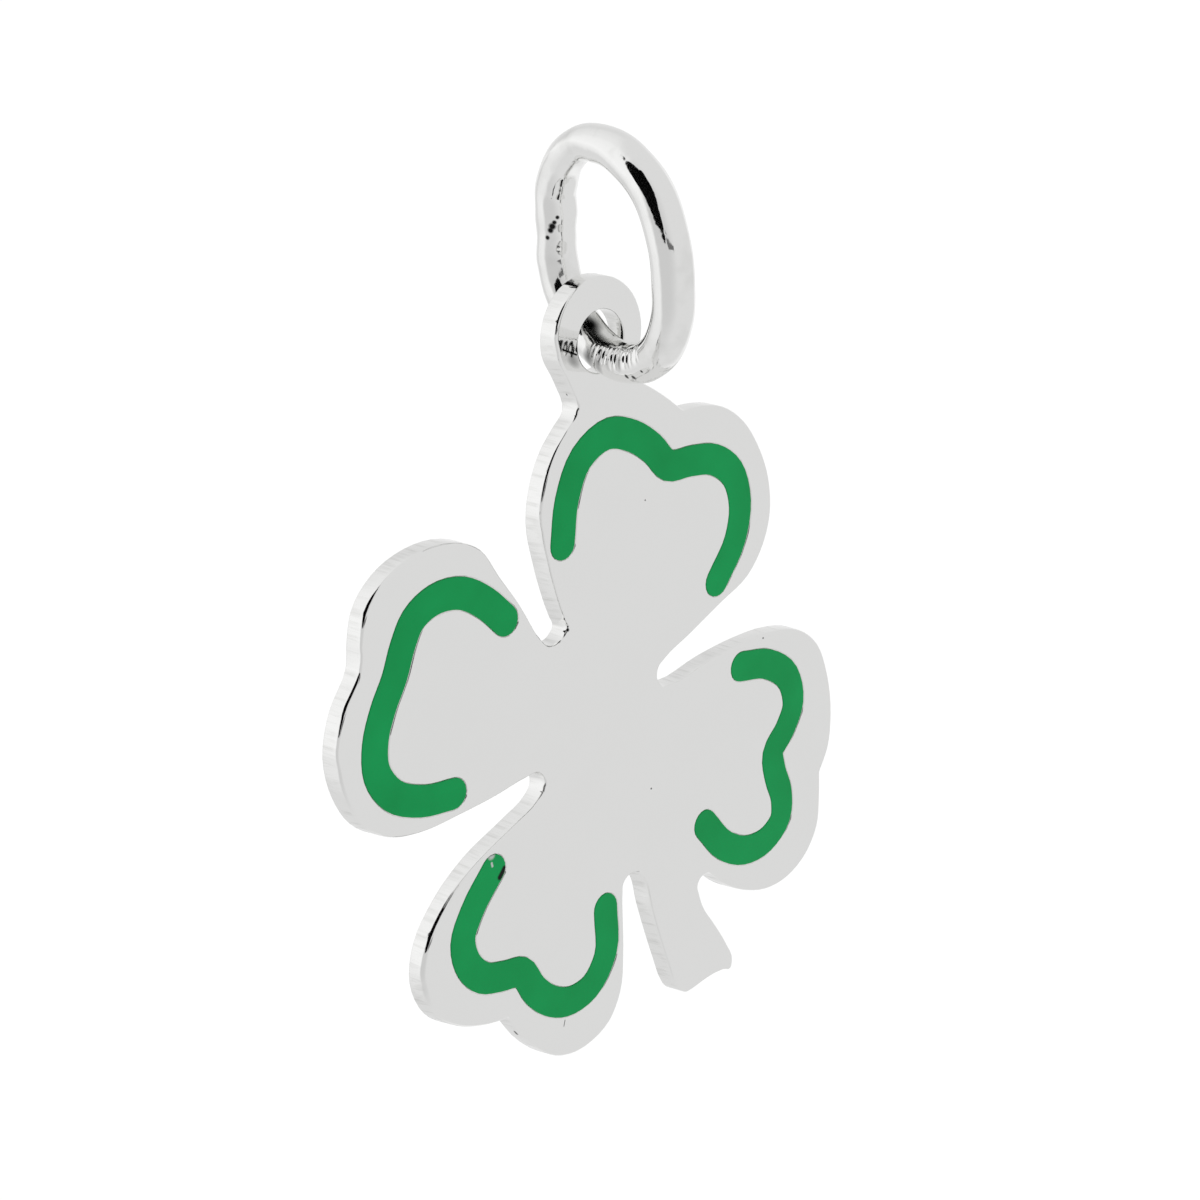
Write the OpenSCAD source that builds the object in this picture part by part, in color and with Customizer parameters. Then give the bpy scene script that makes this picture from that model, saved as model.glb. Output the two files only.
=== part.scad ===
// Four leaf clover pendant on a jump ring, in millimetres.
// The plate stands upright with its enamelled face towards -Y. The origin is the inside top of
// the jump ring, where a chain passes through it along X.

/* [Leaves] */
// Length of a leaf, from the heart of the clover to the dent in its tip
leaf_len = 7.8; // [7.2:0.1:8.6]
// Width that the two lobes of a leaf are drawn to
leaf_w = 7.6; // [7:0.1:8.2]
// Turn of the whole clover, clockwise from upright
clover_turn = 22.5; // [18:0.5:27]

/* [Stem] */
// Length of the stem, from the heart of the clover to the tip of its foot
stem_len = 9; // [8.4:0.1:10]
// Width of the stem at its foot
stem_w = 1.8; // [1.4:0.1:2.2]
// Direction of the stem, clockwise from the axis of the right leaf
stem_turn = 39.5; // [37:0.5:42]

/* [Sheet] */
// Thickness of the silver sheet
sheet = 0.56; // [0.5:0.02:0.9]
// Drop from the middle of the eye to the heart of the clover
heart_drop = 9.27; // [9:0.1:10.5]
// How far the heart of the clover stands to the left of the eye
heart_left = 0.2; // [0:0.05:0.5]

/* [Tab and eye] */
// Radius of the round tab
tab_r = 1.4; // [1.3:0.01:1.7]
// Radius of the eye through the tab
eye_r = 0.745; // [0.745:0.005:0.85]
// How far the eye sits below the middle of the tab
eye_low = 0.12; // [0:0.01:0.25]
// How far the eye sits to the right of the middle of the tab
eye_right = 0.06; // [0:0.01:0.15]

/* [Enamel] */
// Width of the channels that hold the enamel
channel_w = 0.8; // [0.5:0.02:0.84]
// Depth of the channels
channel_depth = 0.3; // [0.15:0.01:0.4]
// How far the enamel lies below the face of the silver
enamel_low = 0.03; // [0.01:0.01:0.08]
// Gap between the enamel and the walls and floor of its channel
enamel_gap = 0.015; // [0.01:0.005:0.03]

/* [Jump ring] */
// Radius of the ring, to the middle of its wire
ring_r = 2.534; // [2.45:0.002:3.2]
// Radius of the wire
wire_r = 0.47; // [0.4:0.01:0.47]
// Turn of the ring about the vertical, from square to the plate
ring_yaw = 12.5; // [0:0.5:13]
// Lean of the top of the ring towards the left
ring_lean = 6.15; // [0:0.05:8]
// Angle round the ring from its lowest point back to the eye
eye_round = 26; // [0:0.5:26]
// How far the wire lies below the middle of the eye
wire_low = 0.086; // [0:0.002:0.1]
// How far the wire lies to the right of the middle of the eye
wire_right = 0.07; // [0:0.005:0.08]

/* [Hidden] */
$fn = 64;

// Straight pieces that each span of a smooth line is drawn with
span_steps = 4;
// Points round each half circle at the end of a channel
end_steps = 10;
// Spare height of a cut, so that it leaves no skin
cut = 1;

// Columns of the tables
ACROSS = 0;
ALONG = 1;
SHARP = 2;

// The outline of each leaf, from the notch on its left over both lobes to the notch on its right,
// seen with its tip up. ACROSS is a share of leaf_w from the axis of the leaf, ALONG a share of
// leaf_len from the heart, and SHARP is 1 where the line has a corner. The leaves of the real
// piece were drawn by hand, so no two are alike.
top_left_side = [
    [-0.264, 0.280, 0],
    [-0.302, 0.315, 0],
    [-0.348, 0.363, 0],
    [-0.397, 0.420, 0],
    [-0.475, 0.530, 0],
    [-0.505, 0.650, 0],
    [-0.500, 0.750, 0],
    [-0.475, 0.825, 0],
    [-0.455, 0.878, 0],
];
top_right_side = [
    [-0.258, 1.033, 0],
    [-0.190, 1.031, 0],
    [-0.100, 1.018, 0],
    [ 0.000, 0.995, 1],
    [ 0.080, 1.028, 0],
    [ 0.170, 1.047, 0],
    [ 0.285, 1.027, 0],
    [ 0.385, 0.970, 0],
    [ 0.475, 0.885, 0],
    [ 0.532, 0.775, 0],
    [ 0.540, 0.680, 0],
    [ 0.510, 0.570, 0],
    [ 0.420, 0.465, 0],
    [ 0.310, 0.338, 0],
];
right_outline = [
    [-0.290, 0.435, 0],
    [-0.380, 0.580, 0],
    [-0.440, 0.710, 0],
    [-0.462, 0.820, 0],
    [-0.435, 0.920, 0],
    [-0.350, 1.010, 0],
    [-0.220, 1.088, 0],
    [-0.105, 1.120, 0],
    [-0.020, 1.113, 1],
    [ 0.060, 1.147, 0],
    [ 0.160, 1.177, 0],
    [ 0.265, 1.160, 0],
    [ 0.350, 1.102, 0],
    [ 0.408, 1.005, 0],
    [ 0.427, 0.900, 0],
    [ 0.418, 0.790, 0],
];
bottom_outline = [
    [-0.375, 0.560, 0],
    [-0.430, 0.680, 0],
    [-0.470, 0.800, 0],
    [-0.460, 0.900, 0],
    [-0.380, 0.990, 0],
    [-0.250, 1.033, 0],
    [-0.130, 1.010, 0],
    [ 0.020, 0.934, 1],
    [ 0.110, 0.965, 0],
    [ 0.210, 0.982, 0],
    [ 0.320, 0.963, 0],
    [ 0.414, 0.880, 0],
    [ 0.446, 0.760, 0],
    [ 0.416, 0.620, 0],
    [ 0.340, 0.480, 0],
    [ 0.219, 0.342, 0],
];
left_outline = [
    [-0.280, 0.330, 0],
    [-0.361, 0.460, 0],
    [-0.431, 0.585, 0],
    [-0.470, 0.710, 0],
    [-0.455, 0.820, 0],
    [-0.390, 0.915, 0],
    [-0.280, 0.992, 0],
    [-0.140, 1.016, 0],
    [-0.010, 1.000, 0],
    [ 0.070, 1.026, 0],
    [ 0.160, 1.041, 0],
    [ 0.270, 1.005, 0],
    [ 0.370, 0.912, 0],
    [ 0.430, 0.780, 0],
    [ 0.430, 0.670, 0],
    [ 0.370, 0.565, 0],
    [ 0.280, 0.425, 0],
];
// The stem, from its root beside the right leaf round its foot, in shares of stem_w and stem_len
stem_outline = [
    [-0.380, 0.750, 0],
    [-0.435, 0.840, 0],
    [-0.475, 0.920, 0],
    [-0.450, 0.985, 0],
    [-0.360, 1.002, 0],
    [-0.210, 0.982, 0],
    [-0.040, 0.967, 0],
    [ 0.150, 0.956, 0],
    [ 0.340, 0.947, 0],
    [ 0.490, 0.935, 0],
    [ 0.575, 0.912, 0],
    [ 0.600, 0.875, 0],
    [ 0.570, 0.815, 0],
    [ 0.530, 0.750, 0],
    [ 0.425, 0.610, 0],
];

// The middle line of each channel, in the same shares as the leaf outlines
top_channel = [
    [-0.360, 0.500],
    [-0.395, 0.630],
    [-0.385, 0.760],
    [-0.300, 0.855],
    [-0.190, 0.872],
    [-0.090, 0.855],
    [ 0.000, 0.822],
    [ 0.100, 0.858],
    [ 0.200, 0.883],
    [ 0.300, 0.862],
    [ 0.375, 0.780],
    [ 0.400, 0.670],
    [ 0.370, 0.525],
];
right_channel = [
    [-0.295, 0.588],
    [-0.325, 0.710],
    [-0.300, 0.825],
    [-0.220, 0.885],
    [-0.130, 0.880],
    [-0.045, 0.855],
    [ 0.020, 0.895],
    [ 0.085, 0.955],
    [ 0.160, 0.982],
    [ 0.240, 0.945],
    [ 0.290, 0.860],
    [ 0.290, 0.750],
    [ 0.235, 0.628],
];
bottom_channel = [
    [-0.285, 0.548],
    [-0.345, 0.690],
    [-0.315, 0.800],
    [-0.235, 0.855],
    [-0.150, 0.860],
    [-0.070, 0.835],
    [ 0.015, 0.786],
    [ 0.090, 0.806],
    [ 0.170, 0.820],
    [ 0.250, 0.790],
    [ 0.305, 0.720],
    [ 0.303, 0.630],
    [ 0.262, 0.493],
];
left_channel = [
    [-0.300, 0.505],
    [-0.340, 0.620],
    [-0.340, 0.745],
    [-0.285, 0.830],
    [-0.200, 0.867],
    [-0.100, 0.874],
    [ 0.000, 0.865],
    [ 0.100, 0.868],
    [ 0.175, 0.858],
    [ 0.245, 0.805],
    [ 0.290, 0.700],
    [ 0.280, 0.595],
    [ 0.245, 0.495],
];

// The round ends of the notches between the leaves. FAR is the distance of the middle of the end
// from the heart and RADIUS its radius, both as shares of leaf_len. TURN is its direction,
// clockwise from the axis of the leaf or stem before it, and ROUND how much of a turn is drawn.
FAR = 0;
TURN = 1;
RADIUS = 2;
ROUND = 3;
notch_left_top = [0.387, 41.2, 0.058, 135];
notch_top_right = [0.333, 50.2, 0.047, 180];
notch_right_stem = [0.824, 30.5, 0.035, 180];
notch_stem_bottom = [0.598, 11.8, 0.046, 180];
notch_bottom_left = [0.299, 39.1, 0.049, 180];

// Directions of the leaves and the stem, counter-clockwise from +X as seen from the front
quarter = 90;
top_dir = quarter - clover_turn;
right_dir = top_dir - quarter;
stem_dir = right_dir - stem_turn;
bottom_dir = right_dir - quarter;
left_dir = bottom_dir - quarter;

// Places in the plane of the plate are measured from the middle of the eye, right and up
heart = [-heart_left, -heart_drop];
tab_mid = [-eye_right, eye_low];
function unit(dir) = [cos(dir), sin(dir)];
// A point that lies along a direction from the heart, and across it on the clockwise side
function from_heart(dir, across, along) = heart + along * unit(dir) + across * unit(dir - quarter);
function leaf_line(table, dir) = [for (row = table)
    concat(from_heart(dir, row[ACROSS] * leaf_w, row[ALONG] * leaf_len), row[SHARP] == 1 ? 1 : 0)];
function stem_line() = [for (row = stem_outline)
    concat(from_heart(stem_dir, row[ACROSS] * stem_w, row[ALONG] * stem_len), row[SHARP])];
// The end of a notch, from its counter-clockwise side past the heart side to the other
function notch_line(notch, dir_before) = let (dir = dir_before - notch[TURN])
    [for (a = [0 : quarter / 2 : notch[ROUND]])
        concat(heart + notch[FAR] * leaf_len * unit(dir)
            + notch[RADIUS] * leaf_len * unit(dir + quarter + a), 0)];
// The tab, from the left side of its neck over its top to the right side. The neck's turns are
// measured from straight down.
neck_turn_left = 45;
neck_turn_right = 35;
tab_steps = 9;
tab_arc = 4 * quarter - neck_turn_left - neck_turn_right;
function tab_line() = [for (k = [0 : tab_steps])
    concat(tab_mid + tab_r * unit(-quarter - neck_turn_left - tab_arc * k / tab_steps), 0)];

// A smooth line through points. At each point it runs as the two chords beside it do, weighed by
// their lengths, and at a sharp one it breaks.
function run(a, b) = (b - a) / norm(b - a);
function place(p) = [p[0], p[1]];
function lead(before, at, after) = let (d0 = norm(at - before), d1 = norm(after - at))
    (d1 * run(before, at) + d0 * run(at, after)) / (d0 + d1);
function hermite(a, b, out, in, s) = let (d = norm(b - a))
    (2 * s ^ 3 - 3 * s ^ 2 + 1) * a + (s ^ 3 - 2 * s ^ 2 + s) * d * out
    + (3 * s ^ 2 - 2 * s ^ 3) * b + (s ^ 3 - s ^ 2) * d * in;
function smooth_closed(points) = let (n = len(points))
    [for (i = [0 : n - 1]) let (
        p0 = place(points[(i + n - 1) % n]), p1 = place(points[i]),
        p2 = place(points[(i + 1) % n]), p3 = place(points[(i + 2) % n]),
        out = points[i][SHARP] == 1 ? run(p1, p2) : lead(p0, p1, p2),
        in = points[(i + 1) % n][SHARP] == 1 ? run(p1, p2) : lead(p1, p2, p3))
        for (k = [0 : span_steps - 1]) hermite(p1, p2, out, in, k / span_steps)];
function smooth_open(points) = let (n = len(points))
    concat([for (i = [0 : n - 2]) let (
        p1 = points[i], p2 = points[i + 1],
        out = i == 0 ? run(p1, p2) : lead(points[i - 1], p1, p2),
        in = i == n - 2 ? run(p1, p2) : lead(p1, p2, points[i + 2]))
        for (k = [0 : span_steps - 1]) hermite(p1, p2, out, in, k / span_steps)],
        [points[n - 1]]);

clover_outline = smooth_closed(concat(
    notch_line(notch_left_top, left_dir),
    leaf_line(top_left_side, top_dir),
    tab_line(),
    leaf_line(top_right_side, top_dir),
    notch_line(notch_top_right, top_dir),
    leaf_line(right_outline, right_dir),
    notch_line(notch_right_stem, right_dir),
    stem_line(),
    notch_line(notch_stem_bottom, stem_dir),
    leaf_line(bottom_outline, bottom_dir),
    notch_line(notch_bottom_left, bottom_dir),
    leaf_line(left_outline, left_dir)));

// A band of even width with round ends, drawn along a smooth middle line
function turned(v) = [-v[1], v[0]];
function band(middle, w) = let (
    line = smooth_open(middle), n = len(line),
    way = [for (i = [0 : n - 1]) run(line[max(i - 1, 0)], line[min(i + 1, n - 1)])],
    start = atan2(way[0][1], way[0][0]), finish = atan2(way[n - 1][1], way[n - 1][0]))
    concat(
        [for (i = [0 : n - 1]) line[i] + w / 2 * turned(way[i])],
        [for (k = [1 : end_steps - 1])
            line[n - 1] + w / 2 * unit(finish + quarter - 2 * quarter * k / end_steps)],
        [for (i = [n - 1 : -1 : 0]) line[i] - w / 2 * turned(way[i])],
        [for (k = [1 : end_steps - 1])
            line[0] + w / 2 * unit(start - quarter - 2 * quarter * k / end_steps)]);
function middle_line(table, dir) = [for (row = table)
    from_heart(dir, row[ACROSS] * leaf_w, row[ALONG] * leaf_len)];

// The wire at the eye, worked out from the chain seat round the ring
seat_to_mid = ring_r - wire_r;
wire_in_ring = [0, ring_r * sin(eye_round), -seat_to_mid - ring_r * cos(eye_round)];
wire_leant = [-wire_in_ring[2] * sin(ring_lean), wire_in_ring[1], wire_in_ring[2] * cos(ring_lean)];
wire_at_eye = [
    wire_leant[0] * cos(ring_yaw) + wire_leant[1] * sin(ring_yaw),
    wire_leant[1] * cos(ring_yaw) - wire_leant[0] * sin(ring_yaw),
    wire_leant[2]];
eye_mid = wire_at_eye + [-wire_right, 0, wire_low];

// Stands a flat drawing up in the place of the plate, with its top face to the front
module upright() {
    translate(eye_mid + [0, sheet / 2, 0]) rotate([quarter, 0, 0]) children();
}

module channel_cut(table, dir) {
    translate([0, 0, sheet - channel_depth])
        linear_extrude(channel_depth + cut) polygon(band(middle_line(table, dir), channel_w));
}

module enamel(table, dir) {
    color("#1f8c4c") upright()
        translate([0, 0, sheet - channel_depth + enamel_gap])
            linear_extrude(channel_depth - enamel_gap - enamel_low)
                polygon(band(middle_line(table, dir), channel_w - 2 * enamel_gap));
}

module clover_plate() {
    color("#d9d9d9") upright() difference() {
        linear_extrude(sheet) polygon(clover_outline);
        translate([0, 0, -cut]) cylinder(h = sheet + 2 * cut, r = eye_r);
        channel_cut(top_channel, top_dir);
        channel_cut(right_channel, right_dir);
        channel_cut(bottom_channel, bottom_dir);
        channel_cut(left_channel, left_dir);
    }
}

module top_leaf_enamel() {
    enamel(top_channel, top_dir);
}

module right_leaf_enamel() {
    enamel(right_channel, right_dir);
}

module bottom_leaf_enamel() {
    enamel(bottom_channel, bottom_dir);
}

module left_leaf_enamel() {
    enamel(left_channel, left_dir);
}

module jump_ring() {
    color("#e4e4e4") rotate([0, 0, -ring_yaw]) rotate([0, -ring_lean, 0])
        translate([0, 0, -seat_to_mid]) rotate([0, quarter, 0])
            rotate_extrude() translate([ring_r, 0]) circle(wire_r);
}

clover_plate();
top_leaf_enamel();
right_leaf_enamel();
bottom_leaf_enamel();
left_leaf_enamel();
jump_ring();
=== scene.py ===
# %% [markdown]
# # A four leaf clover pendant of polished silver and green enamel
# The real piece is a flat clover, cut or cast from silver sheet, with four channels filled with
# green enamel, and a closed jump ring that passes through an eye at its top. Its solids, sizes and
# the hinge come from the CAD model. This lesson dresses them: it rounds the edges that polishing
# would round, bends the ring a little out of true, gives silver and enamel their finish, and lights
# the pendant as a small silver thing is lit, inside white walls.

import math

import bmesh
import bpy
from mathutils import Matrix, Vector
from mathutils.kdtree import KDTree


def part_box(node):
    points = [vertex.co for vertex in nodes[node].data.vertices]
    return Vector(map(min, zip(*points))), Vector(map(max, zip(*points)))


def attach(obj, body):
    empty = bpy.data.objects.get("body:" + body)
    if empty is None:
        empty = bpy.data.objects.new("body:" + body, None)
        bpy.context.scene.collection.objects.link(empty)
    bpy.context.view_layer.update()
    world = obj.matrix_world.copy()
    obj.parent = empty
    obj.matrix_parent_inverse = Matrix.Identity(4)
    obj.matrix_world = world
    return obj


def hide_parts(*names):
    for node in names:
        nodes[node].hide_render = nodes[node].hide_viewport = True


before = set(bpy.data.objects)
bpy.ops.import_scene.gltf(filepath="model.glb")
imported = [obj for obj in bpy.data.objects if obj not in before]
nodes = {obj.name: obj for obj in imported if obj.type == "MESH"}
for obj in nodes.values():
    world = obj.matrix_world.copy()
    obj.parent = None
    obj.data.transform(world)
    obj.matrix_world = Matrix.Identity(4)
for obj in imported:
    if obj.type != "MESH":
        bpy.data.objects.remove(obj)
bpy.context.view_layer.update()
# The frame is in metres, so a length in millimetres is written times MM.
MM = 0.001

# %% [markdown]
# ## Colours
# Colours are written as sRGB hex values, as a colour picker shows them, but Cycles wants linear
# numbers. Linear numbers could be typed in directly, but nobody can picture them, so one function
# turns one kind into the other.

# %% Colours
def colour(text):
    """A linear RGBA colour from an sRGB hex value such as #1f8c4c."""
    shares = [int(text[i:i + 2], 16) / 255 for i in (1, 3, 5)]
    linear = [s / 12.92 if s <= 0.04045 else ((s + 0.055) / 1.055) ** 2.4 for s in shares]
    return (*linear, 1)


print("the mid grey #808080 is", round(colour("#808080")[0], 3), "in linear light")

# %% [markdown]
# ## Nodes and materials
# A material is a tree of nodes. One function adds a node, sets it and links what is given as a
# socket, so that a material reads from top to bottom. The other starts an empty material, so that
# nothing of Blender's default one is left in it.

# %% Nodes and materials
def add(tree, kind, links=None, **settings):
    """Adds a node. Settings are its attributes; links give its inputs a socket or a value."""
    new = tree.nodes.new(kind)
    for name, value in settings.items():
        setattr(new, name, value)
    for key, value in (links or {}).items():
        if isinstance(value, bpy.types.NodeSocket):
            tree.links.new(value, new.inputs[key])
        else:
            new.inputs[key].default_value = value
    return new


def material(name):
    """An empty material and its tree of nodes."""
    made = bpy.data.materials.new(name)
    made.use_nodes = True
    made.node_tree.nodes.clear()
    return made, made.node_tree


# %% [markdown]
# ## Pits, scratches and chips
# Small marks are what makes silver and enamel look handled, and a few of the same marks are painted
# shade and painted dark reflections. They could be cut into the mesh, but the smallest is 0.03 mm
# wide, and the eye sees only that it is darker or paler. So each mark is a soft spot or a short
# soft stroke in the material, and it keeps its place because it is measured in the piece's own
# coordinates.

# %% Pits, scratches and chips
# A mark is whole up to this share of its radius, and fades out from there.
MARK_WHOLE = 0.5


def distance_to_stroke(tree, place, start, along):
    """How far each point lies from a short straight stroke, given in mm."""
    start, along = Vector(start) * MM, Vector(along) * MM
    off = add(tree, "ShaderNodeVectorMath", {0: place, 1: start}, operation="SUBTRACT").outputs[0]
    if along.length == 0:
        return add(tree, "ShaderNodeVectorMath", {0: off}, operation="LENGTH").outputs["Value"]
    share = add(tree, "ShaderNodeVectorMath", {
        0: off, 1: along / along.length_squared}, operation="DOT_PRODUCT").outputs["Value"]
    share = add(tree, "ShaderNodeClamp", {"Value": share}).outputs[0]
    foot = add(tree, "ShaderNodeVectorMath", {
        0: along, "Scale": share}, operation="SCALE").outputs[0]
    return add(tree, "ShaderNodeVectorMath", {
        0: off, 1: foot}, operation="DISTANCE").outputs["Value"]


def clear_of(tree, place, marks):
    """0 on the marks and 1 away from them. A mark: x, y, z, radius, reach along x and z, in mm."""
    clear = None
    for x, y, z, radius, long_x, long_z in marks:
        gap = distance_to_stroke(tree, place, (x, y, z), (long_x, 0, long_z))
        far = add(tree, "ShaderNodeMapRange", {
            "Value": gap, "From Min": MARK_WHOLE * radius * MM,
            "From Max": radius * MM}).outputs[0]
        clear = far if clear is None else add(
            tree, "ShaderNodeMath", {0: clear, 1: far}, operation="MULTIPLY").outputs[0]
    return clear


# %% [markdown]
# ## The filed edge of the sheet
# File strokes show only on the edge of the sheet, and buffing took them off its front rim. The way
# a surface faces and its place along Y, the direction through the sheet, say where they are. The
# walls could have a material of their own, but it would end in a hard line, and the strokes fade.

# %% The filed edge of the sheet
# Where a surface counts as edge: 0 faces the front or the back, and 1 faces sideways.
EDGE_FROM, EDGE_WHOLE = 0.45, 0.85
# Along Y, the strokes start at the first place and are whole at the second.
STROKES_START, STROKES_WHOLE = 0.74 * MM, 0.92 * MM


def filed_edge(tree, place):
    """1 on the filed edge of the sheet, and 0 on its faces and its front rim."""
    normal = add(tree, "ShaderNodeNewGeometry").outputs["Normal"]
    facing = add(tree, "ShaderNodeSeparateXYZ", {"Vector": normal}).outputs["Y"]
    facing = add(tree, "ShaderNodeMath", {0: facing}, operation="ABSOLUTE").outputs[0]
    sideways = add(tree, "ShaderNodeMath", {
        0: 1.0, 1: facing}, operation="SUBTRACT", use_clamp=True).outputs[0]
    wall = add(tree, "ShaderNodeMapRange", {
        "Value": sideways, "From Min": EDGE_FROM, "From Max": EDGE_WHOLE}).outputs[0]
    through = add(tree, "ShaderNodeSeparateXYZ", {"Vector": place}).outputs["Y"]
    behind_rim = add(tree, "ShaderNodeMapRange", {
        "Value": through, "From Min": STROKES_START, "From Max": STROKES_WHOLE}).outputs[0]
    return add(tree, "ShaderNodeMath", {0: wall, 1: behind_rim}, operation="MULTIPLY").outputs[0]


# %% [markdown]
# ## Strokes and waves
# The file's strokes ran across the thickness of the sheet and left fine lines about 0.1 mm apart.
# Noise that is stretched along Y makes them. The buff, held by hand, left softer and wider waves,
# which break up what an edge mirrors. Both are a few thousandths of a millimetre deep, too shallow
# for the mesh, so they are bump, each with its real depth.

# %% Strokes and waves
FILE_PITCH = 0.11 * MM
FILE_LENGTH = 2.5 * MM
NOISE_MIDDLE = 0.5


def worked_surface(tree, place, edge, wavy, file_depth, wave_size, wave_depth):
    """The normal of a filed and buffed surface, and the noise that its strokes come from."""
    waves = add(tree, "ShaderNodeTexNoise", {
        "Vector": place, "Scale": 1 / wave_size, "Detail": 1.0}).outputs[0]
    swell = add(tree, "ShaderNodeMath", {
        0: waves, 1: NOISE_MIDDLE}, operation="SUBTRACT").outputs[0]
    swell = add(tree, "ShaderNodeMath", {0: swell, 1: wavy}, operation="MULTIPLY").outputs[0]
    uneven = add(tree, "ShaderNodeBump", {
        "Height": swell, "Strength": 1.0, "Distance": wave_depth}).outputs[0]
    stretched = add(tree, "ShaderNodeMapping", {
        "Vector": place, "Scale": (1 / FILE_PITCH, 1 / FILE_LENGTH, 1 / FILE_PITCH)}).outputs[0]
    strokes = add(tree, "ShaderNodeTexNoise", {
        "Vector": stretched, "Scale": 1.0, "Detail": 2.0}).outputs[0]
    height = add(tree, "ShaderNodeMath", {
        0: strokes, 1: NOISE_MIDDLE}, operation="SUBTRACT").outputs[0]
    height = add(tree, "ShaderNodeMath", {0: height, 1: edge}, operation="MULTIPLY").outputs[0]
    filed = add(tree, "ShaderNodeBump", {
        "Height": height, "Strength": 1.0, "Distance": file_depth, "Normal": uneven}).outputs[0]
    return filed, strokes


# %% [markdown]
# ## Polished silver
# Sterling silver, pickled, tumbled and buffed. To the eye it is an almost white mirror with a
# slight haze, so it is a metal with a low roughness that wanders a little. Where only the file or
# the pliers worked it, it is duller, and its pits hold dark polishing dirt. The same dark colour
# paints shade and dark reflections at a few marks. A plain metal shader would mirror the walls too
# perfectly and look like a drawing, so noise in real millimetres breaks it up.

# %% Polished silver
SILVER, DULL_SILVER = colour("#f4f4f3"), colour("#dcdcda")
# The dark colour fills real pits and dirt, and it also paints shade and dark reflections.
DIRT_AND_PAINTED_SHADE = colour("#202020")
HAZE_SIZE = 1.2 * MM
# The haze's noise goes from the first to the second value, and the roughness with it.
HAZE_LOW, HAZE_HIGH = 0.3, 0.7
ROUGH_LEAST, ROUGH_MOST = 0.05, 0.10
# The silver begins to be dull where a noise has the first value, and is dullest at the second.
DULL_FROM, DULL_WHOLE = 0.5, 0.85


def silver(name, marks, file_depth, wave_size, wave_depth, all_over):
    """Polished silver with dark marks, uneven on its edges alone or all over."""
    made, tree = material(name)
    place = add(tree, "ShaderNodeTexCoord").outputs["Object"]
    edge = filed_edge(tree, place)
    wavy = add(tree, "ShaderNodeMath", {
        0: edge, 1: float(all_over)}, operation="MAXIMUM").outputs[0]
    normal, strokes = worked_surface(tree, place, edge, wavy, file_depth, wave_size, wave_depth)
    haze = add(tree, "ShaderNodeTexNoise", {
        "Vector": place, "Scale": 1 / HAZE_SIZE, "Detail": 3.0}).outputs[0]
    rough = add(tree, "ShaderNodeMapRange", {
        "Value": haze, "From Min": HAZE_LOW, "From Max": HAZE_HIGH,
        "To Min": ROUGH_LEAST, "To Max": ROUGH_MOST}).outputs[0]
    dull = add(tree, "ShaderNodeMapRange", {
        "Value": haze if all_over else strokes,
        "From Min": DULL_FROM, "From Max": DULL_WHOLE}).outputs[0]
    dull = add(tree, "ShaderNodeMath", {0: dull, 1: wavy}, operation="MULTIPLY").outputs[0]
    bare = add(tree, "ShaderNodeMix", {
        "Factor": dull, "A": SILVER, "B": DULL_SILVER}, data_type="RGBA").outputs["Result"]
    tint = add(tree, "ShaderNodeMix", {
        "Factor": clear_of(tree, place, marks), "A": DIRT_AND_PAINTED_SHADE, "B": bare},
        data_type="RGBA").outputs["Result"]
    shader = add(tree, "ShaderNodeBsdfPrincipled", {
        "Metallic": 1.0, "Roughness": rough, "Normal": normal, "Base Color": tint})
    add(tree, "ShaderNodeOutputMaterial", {"Surface": shader.outputs[0]})
    print(name, "has", len(marks), "marks and", len(tree.nodes), "nodes")
    return made


# %% [markdown]
# ## Green enamel
# Opaque enamel is glass, melted in the channels and polished. To the eye it is a strong, even green
# with only a faint clear reflection on top, weaker than a glass's usual one, so its specular level
# is low. Enamel pools a little unevenly, so the green wanders very slightly in lightness. Where it
# is chipped it turns pale, and its holes are dark.

# %% Green enamel
GREEN, LIGHT_GREEN = colour("#068643"), colour("#0e9e55")
CHIP_GREY, HOLE_BLACK = colour("#b9bfbc"), colour("#0c100e")
POOL_SIZE = 1.5 * MM


def enamel(name, chips, holes):
    """Opaque green enamel with a polished surface, pale chips and dark holes."""
    made, tree = material(name)
    place = add(tree, "ShaderNodeTexCoord").outputs["Object"]
    pools = add(tree, "ShaderNodeTexNoise", {
        "Vector": place, "Scale": 1 / POOL_SIZE, "Detail": 2.0}).outputs[0]
    tint = add(tree, "ShaderNodeMix", {
        "Factor": pools, "A": GREEN, "B": LIGHT_GREEN}, data_type="RGBA").outputs["Result"]
    for marks, shade in ((chips, CHIP_GREY), (holes, HOLE_BLACK)):
        tint = add(tree, "ShaderNodeMix", {
            "Factor": clear_of(tree, place, marks), "A": shade, "B": tint},
            data_type="RGBA").outputs["Result"]
    shader = add(tree, "ShaderNodeBsdfPrincipled", {
        "Base Color": tint, "Roughness": 0.12, "IOR": 1.5, "Specular IOR Level": 0.12})
    add(tree, "ShaderNodeOutputMaterial", {"Surface": shader.outputs[0]})
    print(name, "has", len(chips) + len(holes), "marks and", len(tree.nodes), "nodes")
    return made


# %% [markdown]
# ## Working on a copy of a solid
# A CAD node is never changed, so a piece that needs rounded edges starts as a copy of the node's
# mesh. The clover could be drawn again from curves, but a copy can't drift from the CAD model. It
# arrives as loose triangles: its doubles are merged and its flat faces joined again, so that each
# flat face is whole and has an outline.

# %% Copying a solid
# Vertices nearer than the one are doubles, and faces that meet at less than the other are one.
DOUBLE = 0.0005 * MM
SAME_PLANE = math.radians(0.4)


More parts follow.
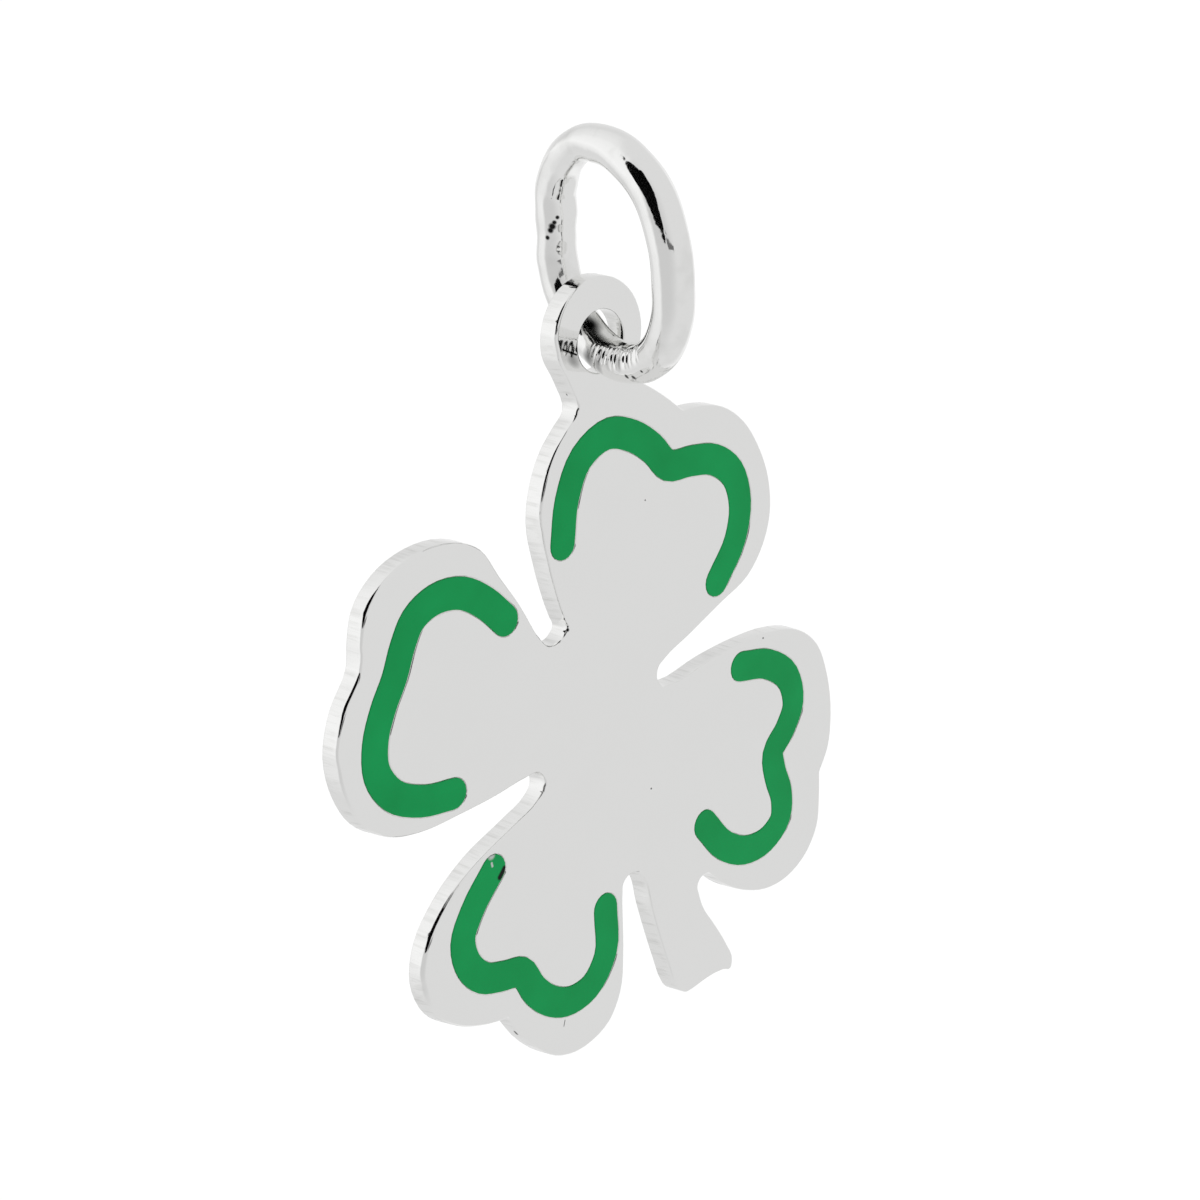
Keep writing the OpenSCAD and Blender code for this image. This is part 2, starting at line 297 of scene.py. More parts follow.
def copy_of(node):
    """A bmesh of a CAD node with its doubles merged and its flat faces whole."""
    bm = bmesh.new()
    bm.from_mesh(nodes[node].data)
    bmesh.ops.remove_doubles(bm, verts=bm.verts, dist=DOUBLE)
    bmesh.ops.dissolve_limit(
        bm, angle_limit=SAME_PLANE, verts=bm.verts, edges=bm.edges,
        delimit=set(), use_dissolve_boundaries=False)
    print(node, "is copied, with", len(bm.faces), "faces")
    return bm


# %% [markdown]
# ## From a bmesh to a piece
# A bmesh is a workbench, and a finished piece is an object at the origin with a material. Smooth
# shading alone would bend the light on the wide flat faces near their narrow roundings. Cutting in
# more loops would cure that too, but normals weighted by area do it without new faces. The piece is
# then put on the body it rides on, and the CAD solids that it replaces are hidden.

# %% From a bmesh to a piece
# How much large faces count over small ones: 50 is neutral, and 100 is the most.
LARGE_FACES_LEAD = 100


def object_of(name, bm, finish):
    """An object at the origin, in the scene, with the shape of a bmesh and one material."""
    mesh = bpy.data.meshes.new(name)
    bm.to_mesh(mesh)
    bm.free()
    mesh.materials.append(finish)
    made = bpy.data.objects.new(name, mesh)
    bpy.context.scene.collection.objects.link(made)
    return made


def piece(name, bm, body, finish, slot, *replaced):
    """A finished piece: smooth, with its material, on its body, in place of its CAD nodes."""
    for face in bm.faces:
        face.smooth = True
    made = object_of(name, bm, finish)
    even = made.modifiers.new("flat_faces_stay_flat", "WEIGHTED_NORMAL")
    even.mode, even.weight = "FACE_AREA", LARGE_FACES_LEAD
    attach(made, body)
    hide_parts(*replaced)
    print(name, "has", len(made.data.polygons), "faces")
    return made


# %% [markdown]
# ## How much rounding an outline allows
# Filing and buffing round the edges of the sheet, more in some places than in others. The radius
# may not be larger than the corner that the outline turns round, or its loops would cross, and it
# may not jump from one vertex to the next, or the light on it would. So each vertex gets its own
# largest radius, and then the radii are evened out along the outline.

# %% How much rounding an outline allows
# A vertex that is this near to a plane lies in it.
FLAT = 0.001 * MM
# A turn that is less than this many radians is straight, and has a bend of this many metres.
LEAST_TURN, NO_BEND = 0.001, 1.0
# How often the radii are evened out, and how much one may grow as a share of the way to the next.
EVEN_PASSES, GROWTH = 20, 0.5


def on(vert, y):
    return abs(vert.co.y - y) < FLAT


def bend(vert, inward):
    """Radius of the outline at a vertex where it turns round the metal, else a very large one."""
    ends = [e.other_vert(vert).co - vert.co for e in vert.link_edges if e.is_boundary]
    turn = math.pi - ends[0].angle(ends[1])
    if (ends[0] + ends[1]).dot(inward) <= 0 or turn < LEAST_TURN:
        return NO_BEND
    return (ends[0].length + ends[1].length) / 2 / turn


def evened(most):
    """The radius at each vertex of an outline: even along it, and nowhere more than most."""
    beside = {v: [e.other_vert(v) for e in v.link_edges if e.is_boundary] for v in most}
    radius = dict(most)
    for _ in range(EVEN_PASSES):
        radius = {v: min(
            most[v], (radius[v] + sum(radius[o] for o in beside[v])) / 3,
            *(radius[o] + GROWTH * (o.co - v.co).length for o in beside[v])) for v in most}
    return radius


# %% [markdown]
# ## Rounding the outline of a flat face
# A bevel would give one radius all round, and it crosses itself at tight corners and on thin walls.
# So the flat face is taken out, its outline is extruded in steps along a quarter round, with each
# vertex on its own radius, and the face is filled again. One more loop just inside the rounding
# keeps the shading of the flat face even.

# %% A quarter round
ARC_STEPS = 5
# The loop inside the rounding lies this share of the radius further in, and no more than this far.
HOLD_SHARE, HOLD_LOOP = 0.2, 0.008 * MM


def roll_in(bm, loop, start, into):
    """Extrudes an outline along a quarter round and returns its innermost loop of edges.

    start gives the place of each vertex on the unrounded edge, its way inward and its radius.
    into is 1 or -1, the way along Y from the face into the metal."""
    arc = [(1 - math.cos(a), 1 - math.sin(a), 0) for a in (
        math.pi / 2 * i / ARC_STEPS for i in range(1, ARC_STEPS + 1))]
    for across, deep, further in arc + [(1, 0, HOLD_SHARE)]:
        made = bmesh.ops.extrude_edge_only(bm, edges=loop)["geom"]
        fresh = {g for g in made if isinstance(g, bmesh.types.BMVert)}
        loop = [g for g in made if isinstance(g, bmesh.types.BMEdge) and set(g.verts) <= fresh]
        start = {vert: next(start[o] for o in (
            e.other_vert(vert) for e in vert.link_edges) if o in start) for vert in fresh}
        for vert, (place, way, r) in start.items():
            vert.co = (place + way * (across * r + min(further * r, HOLD_LOOP))
                       + Vector((0, into * deep * r, 0)))
    return loop


# %% Rounding a whole face
# The radius takes at most this share of a corner's own.
CORNER_SHARE = 0.8


def soften(bm, y, radius_of, lean_of):
    """Rounds every edge of the flat face in the plane y, and returns its least and widest radius.

    First the top of the wall leans inward by lean_of. Radii and leans are in mm."""
    flat = [f for f in bm.faces if all(on(v, y) for v in f.verts)]
    into = 1 if flat[0].normal.y < 0 else -1
    bmesh.ops.delete(bm, geom=flat, context="FACES")
    loop = [e for e in bm.edges if e.is_boundary]
    spots = {v for e in loop for v in e.verts}
    inward, most = {}, {}
    for vert in spots:
        out = sum((f.normal for f in vert.link_faces), Vector())
        inward[vert] = -Vector((out.x, 0, out.z)).normalized()
        most[vert] = min(radius_of(vert) * MM, CORNER_SHARE * bend(vert, inward[vert]))
    radius = evened(most)
    for vert in spots:
        vert.co += inward[vert] * lean_of(vert, inward[vert]) * MM
    start = {v: (v.co.copy(), inward[v], radius[v]) for v in spots}
    for vert in spots:
        vert.co.y += into * radius[vert]
    innermost = roll_in(bm, loop, start, into)
    bmesh.ops.triangle_fill(bm, use_beauty=True, use_dissolve=False, edges=innermost)
    bmesh.ops.recalc_face_normals(bm, faces=bm.faces)
    return min(radius.values()) / MM, max(radius.values()) / MM


# %% [markdown]
# ## The clover plate
# One sheet of silver carries four leaves, a stem, and a tab with the eye that the ring passes
# through, and has four channels cut in its front. The CAD solid has its outline and lacks only what
# the hand tools did to its edges. Long straight runs of the outline are divided first, because a
# radius that changes along the rim needs vertices to change at.

# %% The clover plate
LONGEST_EDGE = 0.15 * MM
# A face is a wall where its normal has less than this share along Y.
WALL_LIMIT = 0.5

plate = copy_of("clover_plate")
low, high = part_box("clover_plate")
face_y, back_y = low.y, high.y


def long_rims():
    """The edges round the plate's front and back face that are too long."""
    return [e for e in plate.edges if e.calc_length() > LONGEST_EDGE
            and (all(on(v, face_y) for v in e.verts) or all(on(v, back_y) for v in e.verts))
            and any(abs(f.normal.y) < WALL_LIMIT for f in e.link_faces)]


while too_long := long_rims():
    bmesh.ops.subdivide_edges(plate, edges=too_long, cuts=1)
print("the sheet is", round((back_y - face_y) / MM, 3), "mm thick, with", len(plate.edges), "edges")

# %% [markdown]
# ## Where the channels open
# In places a channel leaves only a thin wall beside the rim, and a wide rounding would eat it away.
# A channel's wall is known by its depth, because it doesn't go through the sheet. Places close
# together along the mouths go into a search tree, which then gives the distance from any vertex
# much faster than a comparison with every edge.

# %% Where the channels open
# A wall that is at least this deep goes through the sheet.
THROUGH = 0.9 * (back_y - face_y)
MOUTH_STEP = 0.05 * MM


def depth(vert):
    """How deep the wall under a vertex of a flat face goes."""
    return max(abs(o.co.y - vert.co.y) for f in vert.link_faces for o in f.verts)


mouth_places = []
for edge in plate.edges:
    start, end = edge.verts
    if on(start, face_y) and on(end, face_y) and depth(start) < THROUGH and depth(end) < THROUGH:
        steps = math.ceil(edge.calc_length() / MOUTH_STEP)
        mouth_places += [start.co.lerp(end.co, i / steps) for i in range(steps)]
mouth_tree = KDTree(len(mouth_places))
for i, place in enumerate(mouth_places):
    mouth_tree.insert(place, i)
mouth_tree.balance()
print(len(mouth_places), "places along the mouths of the channels")

# %% [markdown]
# ## How round each edge is
# The edges of the sheet were broken with a file and rounded by buffing. The eye and the mouths of
# the channels are crisper, because the buff hardly reached the one, and the enamel held it off the
# others. At some places of the rim the wheel took more metal than at others. The rounding is small,
# but it draws every light and dark line along the leaves, so it is real shape and not a bump.

# %% How round each edge is
# Radii in mm, and the middle and reach of the eye.
FACE_ROUND, BACK_ROUND, MOUTH_ROUND, EYE_ROUND = 0.07, 0.07, 0.04, 0.05
EYE_MID, EYE_REACH = Vector((0.6245, 0, -4.231)) * MM, 0.9 * MM
# Where the front edge is rounder or crisper than elsewhere: x, z, reach and radius in mm.
RIM_PLACES = (
    (-6.45, -9.16, 1.1, 0.13),
    (-7.14, -11.3, 1.1, 0.12),
    (-4.65, -17.0, 1.7, 0.20),
    (-1.25, -7.6, 0.6, 0.12),
    (-7.1, -14.2, 2.6, 0.16),
    (-5.6, -16.2, 1.6, 0.16),
    (-5.0, -17.2, 2.2, 0.12),
    (-2.6, -9.4, 1.6, 0.16),
    (-4.4, -19.2, 2.0, 0.27),
    (0.6, -21.4, 2.0, 0.16),
    (5.16, -21.07, 0.6, 0.04),
    (7.15, -15.85, 0.6, 0.05),
    (-1.63, -20.98, 0.8, 0.07))
print(len(RIM_PLACES), "places of the rim have a rounding of their own")

# %% The radius at a vertex
# The front rounding takes at most this share of the metal between the rim and a channel's mouth.
THIN_WALL_SHARE = 0.6


def near_eye(vert):
    return math.hypot(vert.co.x - EYE_MID.x, vert.co.z - EYE_MID.z) < EYE_REACH


def front_radius(vert):
    """Radius in mm of the front edge at a vertex: less where a channel leaves a thin wall."""
    if depth(vert) < THROUGH:
        return MOUTH_ROUND
    if near_eye(vert):
        return EYE_ROUND
    radius = FACE_ROUND
    for x, z, reach, wanted in RIM_PLACES:
        near = max(0, 1 - math.hypot(vert.co.x / MM - x, vert.co.z / MM - z) / reach)
        radius += (wanted - radius) * near * near * (3 - 2 * near)
    gap = mouth_tree.find(vert.co)[2] / MM
    return min(radius, THIN_WALL_SHARE * (gap - MOUTH_ROUND - 2 * HOLD_LOOP / MM))


def back_radius(vert):
    return EYE_ROUND if near_eye(vert) else BACK_ROUND


# %% [markdown]
# ## Rounding both faces
# The walls that face left and a little down were filed aslant, so they lean in towards the front.
# That changes what they mirror, and makes the left rims dark. The outline could be cut aslant in
# CAD, but a lean worked out for each vertex from the way its wall faces comes and goes smoothly
# along the rim. At the back the walls stay upright.

# %% Rounding both faces
# The most that a wall leans in, in mm. It leans less where its way inward rises by less than
# RISE, and loses the lean this many times as fast as the rise falls short.
RIM_LEAN = 0.07
RISE, LEAN_LOSS = 0.12, 5


def front_lean(vert, inward):
    """How far in mm the wall leans in at its front: on the edges that face left, not in holes."""
    if depth(vert) < THROUGH or near_eye(vert):
        return 0
    return RIM_LEAN * max(0, inward.x + LEAN_LOSS * min(0, inward.z - RISE))


def upright(vert, inward):
    return 0


for side, y, radius_of, lean_of in (
        ("front", face_y, front_radius, front_lean), ("back", back_y, back_radius, upright)):
    least, widest = soften(plate, y, radius_of, lean_of)
    print(side, "edges rounded by", round(least, 3), "to", round(widest, 3), "mm")

# %% [markdown]
# ## The plate's marks and finish
# A worn pendant has a few pits, specks and scratches, and each has a row of its own here. A few
# more rows are painted shade along the right leaf's enamel and a painted dark reflection of the
# ring on the tab. Random ones would be quicker, but a handful of real marks in real places looks
# less like a pattern.

# %% The plate's marks and finish
SHEET_FILE_DEPTH = 0.006 * MM
SHEET_WAVE_SIZE, SHEET_WAVE_DEPTH = 0.4 * MM, 0.006 * MM
# x, y, z, radius, and how far each mark runs along x and z, all in mm.
PITS_AND_PAINTED_SHADE = (
    (-0.47, 0.72, -10.95, 0.055, 0, 0), (-0.44, 0.75, -10.88, 0.03, 0, 0),
    (2.07, 0.704, -8.28, 0.025, 0, 0), (2.32, 0.704, -15.58, 0.03, 0, 0),
    (-2.03, 0.95, -20.70, 0.05, 0.05, -0.10), (-2.02, 0.80, -20.80, 0.04, -0.10, -0.05),
    (-0.61, 0.704, -20.78, 0.014, -0.04, -0.15),
    (-0.19, 0.98, -5.42, 0.02, -0.15, 0.08),
    # Painted shade: four dark spots along the top edge of the right leaf's enamel, where the rim
    # looks shaded.
    (4.28, 0.704, -12.60, 0.03, 0, 0), (4.84, 0.704, -12.33, 0.03, 0.12, 0),
    (5.60, 0.704, -12.31, 0.035, 0.1, 0), (6.26, 0.704, -12.60, 0.03, 0, 0),
    # Painted reflection: a dark stroke left of the eye, where the tab's face mirrors the ring.
    (-0.60, 0.704, -4.25, 0.03, 0.42, -0.18))
sheet_finish = silver(
    "polished_silver_sheet", PITS_AND_PAINTED_SHADE, SHEET_FILE_DEPTH, SHEET_WAVE_SIZE, SHEET_WAVE_DEPTH, False)
piece("clover", plate, "clover", sheet_finish, "polished_silver", "clover_plate")

# %% [markdown]
# ## The enamel
# Each filling was ground nearly level with the silver and polished, and it shrank a hair as it
# cooled, so its edge dips into a narrow dark groove beside the silver. A rounded top edge makes
# that groove. A dark line in the material would look the same from the front, but not from aside.

# %% The enamel
ENAMEL_ROUND = 0.02
ENAMEL_LOW = 0.01 * MM
# At the upper end of the bottom leaf's filling the enamel is chipped and has two holes. The rows
# are as for the pits.
CHIPS = ((-3.01, 0.71, -15.84, 0.14, 0.05, -0.06), (-2.95, 0.71, -16.10, 0.04, 0.02, -0.08))
HOLES = ((-3.05, 0.71, -15.79, 0.05, 0.21, 0.00), (-2.55, 0.71, -16.33, 0.09, -0.15, -0.19))

green = enamel("green_enamel", CHIPS, HOLES)
for leaf in ("top", "right", "bottom", "left"):
    node = leaf + "_leaf_enamel"
    filling = copy_of(node)
    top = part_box(node)[0].y
    for vert in filling.verts:
        if on(vert, top):
            vert.co.y = face_y + ENAMEL_LOW
    soften(filling, face_y + ENAMEL_LOW, lambda vert: ENAMEL_ROUND, upright)
    made = piece(leaf + "_enamel", filling, "clover", green, "green_enamel", node)
    # The round mouths of the channels stay silver, without a green line mirrored in them.
    made.visible_glossy = False

# %% [markdown]
# ## The jump ring
# A ring of round wire, closed and soldered. A torus would be as quick, but spinning the wire's own
# circle about the middle of the ring says how the thing is made. It is a full turn, so its last
# slice is merged with its first.

# %% The jump ring
RING_R, WIRE_R = 2.534 * MM, 0.47 * MM
# Slices round the ring and sides round the wire: enough for teeth that are under 0.2 mm apart.
RING_STEPS, WIRE_SIDES = 720, 48

ring = bmesh.new()
bmesh.ops.create_circle(
    ring, segments=WIRE_SIDES, radius=WIRE_R,
    matrix=Matrix.Translation((0, 0, RING_R)) @ Matrix.Rotation(math.radians(90), 4, "X"))
bmesh.ops.spin(
    ring, geom=ring.verts[:] + ring.edges[:], cent=(0, 0, 0), axis=(1, 0, 0),
    angle=math.tau, steps=RING_STEPS, use_merge=True)
bmesh.ops.recalc_face_normals(ring, faces=ring.faces)
print("the ring has", len(ring.verts), "vertices")

# %% [markdown]
# ## What the pliers did to the ring
# The wire was bent by hand, so the ring isn't quite round and its wire not quite even. The jaws
# also left a row of small teeth inside its lower bend. Both could be sculpted, but a short table
# and a wave can be read and changed, and they give the same ring each time.

# %% The bends of the wire
# Round the ring from its top towards the front: degrees, how far the wire was bent outward in mm,
# and its thickness as a share. In the eye, from 186 to 214 degrees, it is neither bent nor thinned.
WORKED = (
    (0, -0.02, 0.96), (25, -0.01, 1.02), (50, 0.06, 1.04), (75, -0.01, 1.03), (95, -0.04, 1.03),
    (115, 0.03, 1.02), (135, 0.05, 1.02), (155, 0.02, 1.0), (170, -0.02, 1.0), (186, 0.0, 1.0),
    (214, 0.0, 1.0), (243, 0.05, 1.03), (258, -0.01, 1.03), (273, -0.14, 0.98), (285, -0.14, 1.05),
    (300, 0.0, 1.03), (320, 0.05, 0.96), (340, 0.04, 0.90), (360, -0.02, 0.96))


def worked(turn):
    """The row of WORKED at this place, blended between its neighbours."""
    for before, after in zip(WORKED, WORKED[1:]):
        if turn <= after[0]:
            t = (turn - before[0]) / (after[0] - before[0])
            t = t * t * (3 - 2 * t)
            return [a + (b - a) * t for a, b in zip(before[1:], after[1:])]


# %% The teeth of the pliers
# In degrees: from and to round the ring, and the middle and half the width round the wire.
BITE_FROM, BITE_TO, BITE_MID, BITE_HALF = 142, 197, -112, 26
# Degrees from tooth to tooth, degrees over which they fade in, and the depth in mm.
BITE_PITCH, BITE_FADE, BITE_DEPTH = 4.3, 6, 0.055
# The pliers slipped: every so many degrees the teeth shift, and their depth changes about its mean.
BITE_SLIP, DEPTH_MEAN, DEPTH_CHANGE = 13, 0.7, 0.3


def bitten(turn, round_wire):
    """How deep in mm the pliers bit at this place round the ring and round the wire."""
    along = min(1, max(0, min(turn - BITE_FROM, BITE_TO - turn) / BITE_FADE))
    across = max(0, 1 - ((round_wire - BITE_MID) / BITE_HALF) ** 2)
    slip = math.sin(math.tau * turn / BITE_SLIP)
    tooth = 0.5 - 0.5 * math.cos(math.tau * turn / BITE_PITCH + slip)
    return BITE_DEPTH * along * across * tooth * (DEPTH_MEAN + DEPTH_CHANGE * slip)


# %% [markdown]
# ## Bending the ring and hanging it
# Each vertex moves by what the table and the teeth say at its place. The ring is then turned as it
# hangs, with its top at the origin. Its place goes into its mesh, as a CAD node's does, so that the
# object itself stays at the origin, unturned.

# %% Bending the ring and hanging it
RING_YAW, RING_LEAN = math.radians(12.5), math.radians(6.15)

for vert in ring.verts:
    turn = math.degrees(math.atan2(-vert.co.y, vert.co.z)) % 360
    outward, thick = worked(turn)
    far = math.hypot(vert.co.y, vert.co.z)
    thick -= bitten(turn, math.degrees(math.atan2(vert.co.x, far - RING_R))) * MM / WIRE_R
    wanted = RING_R + outward * MM + (far - RING_R) * thick
    vert.co = Vector((vert.co.x * thick, vert.co.y * wanted / far, vert.co.z * wanted / far))
bmesh.ops.transform(ring, verts=ring.verts, matrix=(
    Matrix.Rotation(-RING_YAW, 4, "Z") @ Matrix.Rotation(-RING_LEAN, 4, "Y")
    @ Matrix.Translation((0, 0, WIRE_R - RING_R))))
print("the ring reaches down to", round(min(v.co.z for v in ring.verts) / MM, 2), "mm")

# %% [markdown]
# ## The ring's marks and finish
# The wire was drawn and not filed, so it has no strokes, but soft waves all over. Solder left dark
# pits at the joint. The inside of the lower bend is painted shade: it is darkened where the eye's
# walls hide the tent from what the wire mirrors. That painted shade is drawn with marks whose
# middle lies inside the wire, so that they reach its surface only in part and darken it softly. A
# few dark spots low on the front are drawn the same way.

# %% The ring's marks and finish
NO_STROKES = 0.0
WIRE_WAVE_SIZE, WIRE_WAVE_DEPTH = 0.22 * MM, 0.004 * MM
# The rows are as for the pits: the soldered joint, dark spots low on the front, and the painted
# shade inside the lower bend.
JOINT_PITS = (
    (0.29, 1.98, -1.69, 0.11, 0, 0), (0.33, 1.85, -1.47, 0.06, 0, 0),
    (0.29, 2.14, -1.97, 0.07, 0, 0), (0.29, 2.04, -1.79, 0.09, 0, 0),
    (0.30, 1.92, -1.59, 0.07, 0, 0))
# Dark spots low on the front of the ring.
LOW_DARK_SPOTS = (
    (-0.09, -0.83, -4.71, 0.08, 0, 0), (-0.12, -1.08, -4.69, 0.08, 0, 0),
    (-0.25, -1.46, -4.47, 0.05, 0, 0))
# Painted shade: the inside of the lower bend is darkened where the eye's walls hide the tent.
PAINTED_SHADE_INSIDE = (
    (0.41, 0.87, -3.71, 0.42, 0, 0), (0.37, 0.63, -4.51, 0.33, 0, 0),
    (0.31, 0.25, -4.63, 0.28, 0, 0), (0.23, -0.19, -4.56, 0.27, 0, 0),
    (0.10, -0.62, -4.47, 0.27, 0, 0), (0.02, -1.00, -4.40, 0.25, 0, 0))
wire_finish = silver(
    "polished_silver_wire", JOINT_PITS + LOW_DARK_SPOTS + PAINTED_SHADE_INSIDE, NO_STROKES,
    WIRE_WAVE_SIZE, WIRE_WAVE_DEPTH, True)
piece("ring", ring, "ring", wire_finish, "polished_silver", "jump_ring")

# %% [markdown]
# ## The floor
# The pendant hangs well above a floor of white paper. To the eye, paper is matt and evenly white.
# A lamp could light it, but paper that glows a little stays even right to the edges of the picture.
# The silver is to mirror the tent alone, so the floor is kept out of reflections.

# %% The floor
FLOOR_Z = -90 * MM
FLOOR_REACH = 4
PAPER_WHITE, FLOOR_GLOW = colour("#f2f2f2"), 0.35

white_paper, tree = material("white_paper")
paper = add(tree, "ShaderNodeBsdfDiffuse", {"Color": PAPER_WHITE})
glow = add(tree, "ShaderNodeEmission", {"Color": (1, 1, 1, 1), "Strength": FLOOR_GLOW})
both = add(tree, "ShaderNodeAddShader", {0: paper.outputs[0], 1: glow.outputs[0]})
add(tree, "ShaderNodeOutputMaterial", {"Surface": both.outputs[0]})
bm = bmesh.new()
bmesh.ops.create_grid(
    bm, x_segments=1, y_segments=1, size=FLOOR_REACH, matrix=Matrix.Translation((0, 0, FLOOR_Z)))
floor = object_of("floor", bm, white_paper)
floor.visible_glossy = False

# %% [markdown]
# ## The light tent
# Silver shows only what it mirrors. A lamp would give it hard spots, so small silver is lit inside
# a tent of white cloth, and so is this one. The tent is the world itself: its brightness depends on
# the direction alone. First come the greys behind the pendant, in a ring round the Y axis, because
# the rounded rims mirror them and each side of a leaf should catch its own.

# %% The tent behind the pendant
# Degrees from +X towards +Z, and the brightness there.
BEHIND = (
    (0, 0.86), (18, 0.80), (42, 0.76), (54, 0.74), (78, 0.82), (102, 0.87), (126, 0.94),
    (150, 0.97), (180, 1.0), (198, 0.95), (210, 0.91), (222, 0.87), (234, 0.80), (246, 0.75),
    (270, 0.75), (294, 0.76), (318, 0.84), (342, 0.93), (360, 0.86))

world = bpy.data.worlds.new("tent")
bpy.context.scene.world = world
world.use_nodes = True
tree = world.node_tree
tree.nodes.clear()
way = add(tree, "ShaderNodeTexCoord").outputs["Generated"]
part = add(tree, "ShaderNodeSeparateXYZ", {"Vector": way}).outputs
around = add(tree, "ShaderNodeMath", {0: part["Z"], 1: part["X"]}, operation="ARCTAN2").outputs[0]
turn = add(tree, "ShaderNodeMath", {0: around, 1: 1 / math.tau}, operation="MULTIPLY").outputs[0]
turn = add(tree, "ShaderNodeMath", {0: turn, 1: 1.0}, operation="FLOORED_MODULO").outputs[0]
walls = add(tree, "ShaderNodeValToRGB", {"Fac": turn})
ramp = walls.color_ramp
ramp.interpolation = "EASE"
for i, (degrees, level) in enumerate(BEHIND):
    stop = ramp.elements[i] if i < 2 else ramp.elements.new(degrees / 360)
    stop.position = degrees / 360
    stop.color = (level, level, level, 1)
back = add(tree, "ShaderNodeSeparateColor", {"Color": walls.outputs["Color"]}).outputs["Red"]
print("the tent has", len(ramp.elements), "greys behind the pendant")

# %% [markdown]
# ## The tent in front
# In front the tent is a light grey, which the flat face mirrors. It is shaded to the far left, and
# on the right, low down, it goes over to white where it passes beside the pendant. Soft fades along
# one axis each are enough for that, and they are easier to set than a painted sky.

# %% The tent in front
TENT_WHITE, TENT_GREY, TENT_SHADE = 0.95, 0.767, 0.65
# The axis of each fade, from and to along it in a direction of length 1, and what it goes between.
FADES = {
    "shade": ("X", -0.90, -0.20, TENT_SHADE, TENT_GREY),
    "right": ("X", 0.0, 0.5, 0.0, 1.0),
    "low": ("Z", 0.20, 0.50, 1.0, 0.0),
    "beside": ("Y", -0.05, 0.25, 0.0, 1.0),
    "behind": ("Y", 0.25, 0.55, 0.0, 1.0)}

fade = {}
for name, (axis, start, end, before, after) in FADES.items():
    fade[name] = add(tree, "ShaderNodeMapRange", {
        "Value": part[axis], "From Min": start, "From Max": end,
        "To Min": before, "To Max": after}, interpolation_type="SMOOTHSTEP").outputs[0]
white = add(tree, "ShaderNodeMath", {
    0: fade["right"], 1: fade["low"]}, operation="MULTIPLY").outputs[0]
white = add(tree, "ShaderNodeMath", {0: white, 1: fade["beside"]}, operation="MULTIPLY").outputs[0]
front = add(tree, "ShaderNodeMix", {
    "Factor": white, "A": fade["shade"], "B": TENT_WHITE}).outputs["Result"]
strength = add(tree, "ShaderNodeMix", {
    "Factor": fade["behind"], "A": front, "B": back}).outputs["Result"]
sky = add(tree, "ShaderNodeBackground", {"Color": (1, 1, 1, 1), "Strength": strength})
add(tree, "ShaderNodeOutputWorld", {"Surface": sky.outputs[0]})
print("the tent goes from", TENT_SHADE, "in the shade to", TENT_WHITE, "at the right")

# %% [markdown]
# ## Dark things in the tent
# Polished silver between white walls alone looks like grey plastic. It needs something dark to
# mirror, so a black cloth hangs to the left and above, and a small grey box stands in front. Both
# are flat boards that face the pendant, because only their outline is seen in the silver. To the
# eye they are plain black and dark grey, without gloss. They are hidden from the camera and cast no
# shadow.

# %% Which way a view looks
def toward(azimuth, elevation):
    """A unit vector from the pendant, in the same angles as the views."""
    a, e = math.radians(azimuth), math.radians(elevation)
    return Vector((math.sin(a) * math.cos(e), -math.cos(a) * math.cos(e), math.sin(e)))


print("a view from 0 degrees stands at", list(toward(0, 0)))

# %% The shape of a board
def board_shape(left, right, down, up, cuts):
    """A flat board in the XY plane, with some corners cut off. Lengths are shares."""
    bm = bmesh.new()
    bmesh.ops.create_grid(bm, x_segments=1, y_segments=1, size=1, matrix=(
        Matrix.Translation(((left + right) / 2, (down + up) / 2, 0))
        @ Matrix.Diagonal(((right - left) / 2, (up - down) / 2, 1, 1))))
    for x, y, faces in cuts:
        out = math.radians(faces)
        bmesh.ops.bisect_plane(
            bm, geom=bm.verts[:] + bm.edges[:] + bm.faces[:], plane_co=(x, y, 0),
            plane_no=(math.cos(out), math.sin(out), 0), clear_outer=True)
    return bm


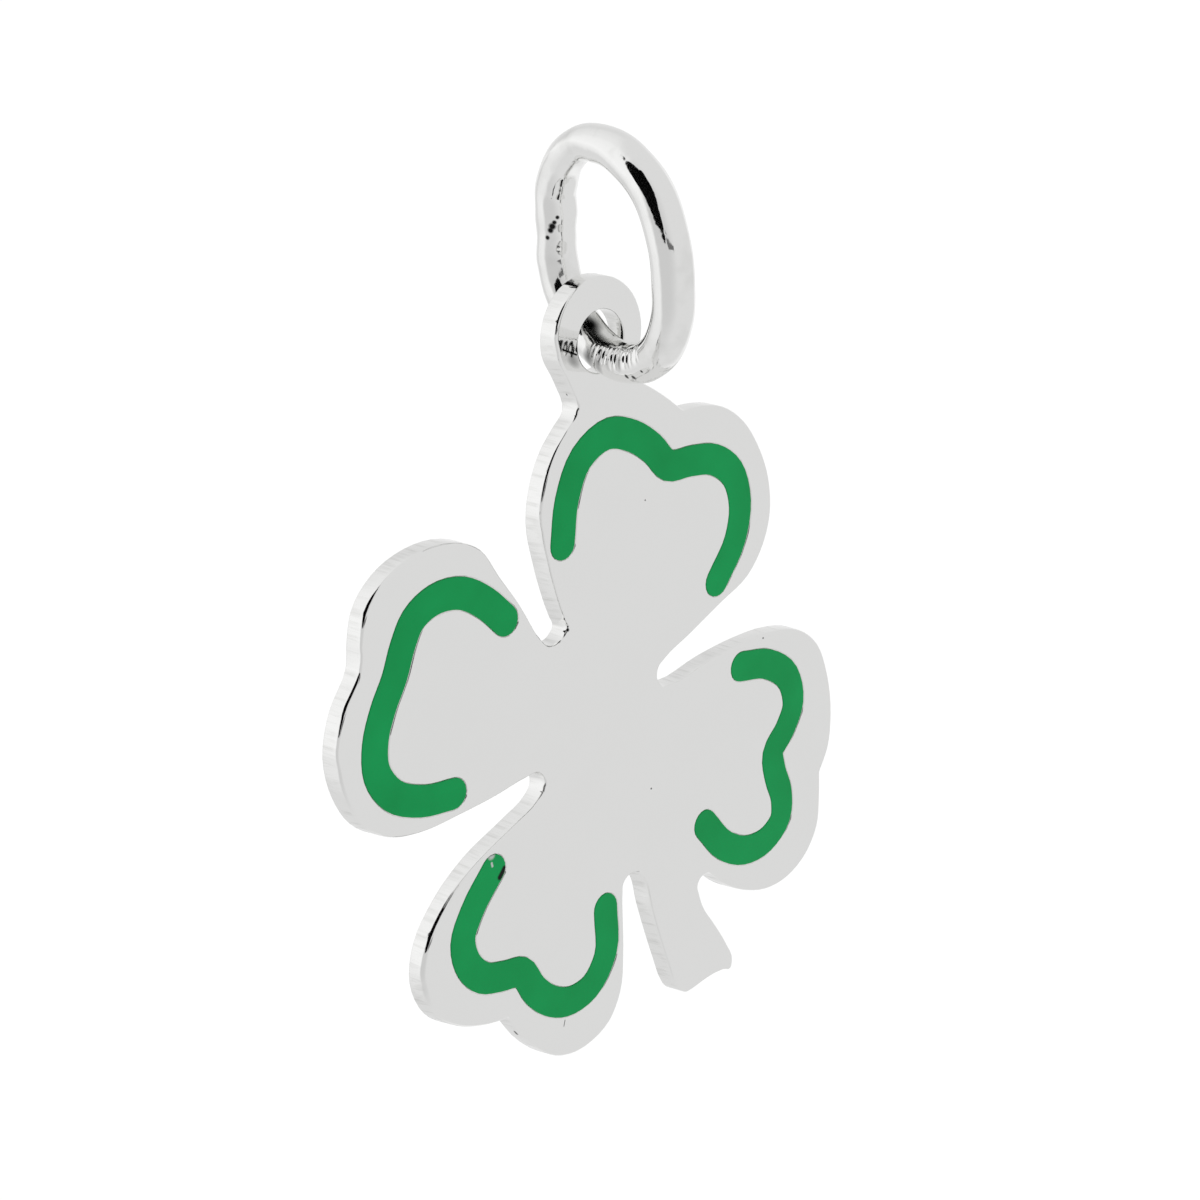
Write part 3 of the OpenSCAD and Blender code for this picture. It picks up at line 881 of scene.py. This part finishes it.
# %% The boards
# Name, direction and turn in degrees, how far it reaches left, right, down and up, its brightness,
# and its cuts: place across and up, and the direction in degrees that the cut faces. Lengths are
# shares of the distance.
BOARDS = (
    ("black_cloth", -91, 28, -30, -0.70, 0.76, -0.37, 0.60, 0.0,
     ((-0.62, -0.36, 192), (-0.70, 0.12, 146), (0.66, 0.25, 50), (0.43, -0.24, -59))),
    ("grey_box", -37, 7, 0, -0.26, 0.24, -0.07, 0.07, 0.15, ()))
BOARD_FAR = 300 * MM
# The point on the plate's face that the boards and the camera face.
MIDDLE = Vector((0.574, 0.704, -10.431)) * MM

for name, azimuth, elevation, turned, left, right, down, up, level, cuts in BOARDS:
    bm = board_shape(left, right, down, up, cuts)
    way_out = toward(azimuth, elevation)
    bmesh.ops.transform(bm, verts=bm.verts, matrix=(
        Matrix.Translation(MIDDLE + way_out * BOARD_FAR)
        @ way_out.to_track_quat("Z", "Y").to_matrix().to_4x4()
        @ Matrix.Rotation(math.radians(turned), 4, "Z") @ Matrix.Scale(BOARD_FAR, 4)))
    finish, tree = material(name)
    plain = add(tree, "ShaderNodeEmission", {"Strength": level})
    add(tree, "ShaderNodeOutputMaterial", {"Surface": plain.outputs[0]})
    board = object_of(name, bm, finish)
    board.visible_camera = board.visible_diffuse = board.visible_shadow = False
    print(name, "has", len(board.data.vertices), "corners")

# %% [markdown]
# ## The camera
# It stands to the left and a little above, as near as one stands to take a picture of something so
# small, so the perspective is real. The lens is a short telephoto. The colours are shown as they
# are, without a film look, so that the white paper stays white.

# %% The camera
VIEW_AZIMUTH, VIEW_ELEVATION = -44.457, 16.511
VIEW_DISTANCE = 77.06 * MM
SENSOR_WIDTH, LENS = 36, 98.26
NEAREST, FURTHEST = 1 * MM, 20

camera_data = bpy.data.cameras.new("camera")
camera_data.sensor_width, camera_data.lens = SENSOR_WIDTH, LENS
camera_data.clip_start, camera_data.clip_end = NEAREST, FURTHEST
camera = bpy.data.objects.new("camera", camera_data)
bpy.context.scene.collection.objects.link(camera)
back_way = toward(VIEW_AZIMUTH, VIEW_ELEVATION)
camera.location = MIDDLE + back_way * VIEW_DISTANCE
camera.rotation_mode = "QUATERNION"
camera.rotation_quaternion = (-back_way).to_track_quat("-Z", "Y")
bpy.context.scene.camera = camera
bpy.context.scene.view_settings.view_transform = "Standard"
print("the camera sees", round(SENSOR_WIDTH / LENS * VIEW_DISTANCE / MM, 1), "mm across")
